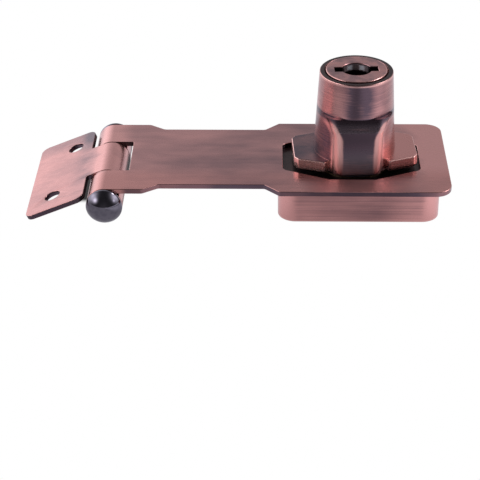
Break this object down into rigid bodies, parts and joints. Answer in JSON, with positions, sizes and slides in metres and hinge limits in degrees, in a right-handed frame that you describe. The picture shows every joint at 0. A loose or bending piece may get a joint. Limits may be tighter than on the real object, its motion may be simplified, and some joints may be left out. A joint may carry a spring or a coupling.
{
  "type": "keyed hasp lock",
  "caption": "Hinged hasp strap with a slot that drops over a keyed turning knob on a square base; the knob's wings hold the strap down.",
  "frame": {"origin": "on the mounting plane, under the knob's axis and midway between the base's four screws", "axes": "+X along the strap to its free end (hinge at -X), +Y across the strap, +Z out of the mounting plane along the knob's axis"},
  "size_m": [0.1077, 0.0434, 0.0342],
  "materials": {
    "copper_plate": "antique red copper plate on steel, satin",
    "copper_cast": "antique red copper plate on cast metal, brushed",
    "plug_copper": "copper plate, satin",
    "black_plate": "antique copper with black patina, brushed sides",
    "dark_dome": "black nickel, polished",
    "steel": "zinc plated",
    "brass": "bare"
  },
  "bodies": {
    "base": {"lock_base": "black_plate", "keeper_ring": "steel", "stop_pin": "steel", "thrust_washer": "brass"},
    "knob": {"knob": "copper_cast", "stem_cap": "steel", "retaining_ring": "steel"},
    "plug": {"key_plug": "plug_copper", "plug_clip": "steel", "drive_cam": "steel", "cam_screw": "steel", "wafer_spring_1": "steel", "wafer_spring_2": "steel", "wafer_spring_3": "steel", "wafer_spring_4": "steel", "wafer_spring_5": "steel"},
    "bolt": {"locking_bolt": "steel"},
    "wafer1": {"wafer_1": "brass"},
    "wafer2": {"wafer_2": "brass"},
    "wafer3": {"wafer_3": "brass"},
    "wafer4": {"wafer_4": "brass"},
    "wafer5": {"wafer_5": "brass"},
    "strap": {"hasp_strap": "copper_plate", "hinge_pin": "dark_dome", "pin_cap": "dark_dome"},
    "leaf": {"hinge_leaf": "copper_plate"}
  },
  "joints": [
    {"name": "strap_swing", "type": "hinge", "parent": "base", "child": "strap", "pos_m": [-0.0634, 0, 0.0047], "axis": [0, -1, 0], "range_deg": [0, 180]},
    {"name": "leaf_fold", "type": "hinge", "parent": "strap", "child": "leaf", "pos_m": [-0.0634, 0, 0.0047], "axis": [0, -1, 0], "range_deg": [-96, 157.4]},
    {"name": "knob_turn", "type": "hinge", "parent": "base", "child": "knob", "pos_m": [0, 0, 0.005], "axis": [0, 0, 1], "range_deg": [0, 90]},
    {"name": "plug_turn", "type": "hinge", "parent": "knob", "child": "plug", "pos_m": [0, 0, 0.02], "axis": [0, 0, 1], "range_deg": [0, 90]},
    {"name": "bolt_throw", "type": "slide", "parent": "knob", "child": "bolt", "axis": [0.0523, -0.9986, 0], "range_m": [0, 0.00201]},
    {"name": "wafer_1_slide", "type": "slide", "parent": "plug", "child": "wafer1", "axis": [0.9986, 0.0523, 0], "range_m": [0, 0.0009], "stiffness_N_per_m": 20, "springref_m": 0.0012, "deforming": ["wafer_spring_1"]},
    {"name": "wafer_2_slide", "type": "slide", "parent": "plug", "child": "wafer2", "axis": [-0.9986, -0.0523, 0], "range_m": [0, 0.0009], "stiffness_N_per_m": 20, "springref_m": 0.0012, "deforming": ["wafer_spring_2"]},
    {"name": "wafer_3_slide", "type": "slide", "parent": "plug", "child": "wafer3", "axis": [0.9986, 0.0523, 0], "range_m": [0, 0.0009], "stiffness_N_per_m": 20, "springref_m": 0.0012, "deforming": ["wafer_spring_3"]},
    {"name": "wafer_4_slide", "type": "slide", "parent": "plug", "child": "wafer4", "axis": [-0.9986, -0.0523, 0], "range_m": [0, 0.0009], "stiffness_N_per_m": 20, "springref_m": 0.0012, "deforming": ["wafer_spring_4"]},
    {"name": "wafer_5_slide", "type": "slide", "parent": "plug", "child": "wafer5", "axis": [0.9986, 0.0523, 0], "range_m": [0, 0.0009], "stiffness_N_per_m": 20, "springref_m": 0.0012, "deforming": ["wafer_spring_5"]}
  ],
  "couplings": [
    {"joint": "bolt_throw", "follows": "plug_turn", "m_per_rad": 0.0012732}
  ]
}
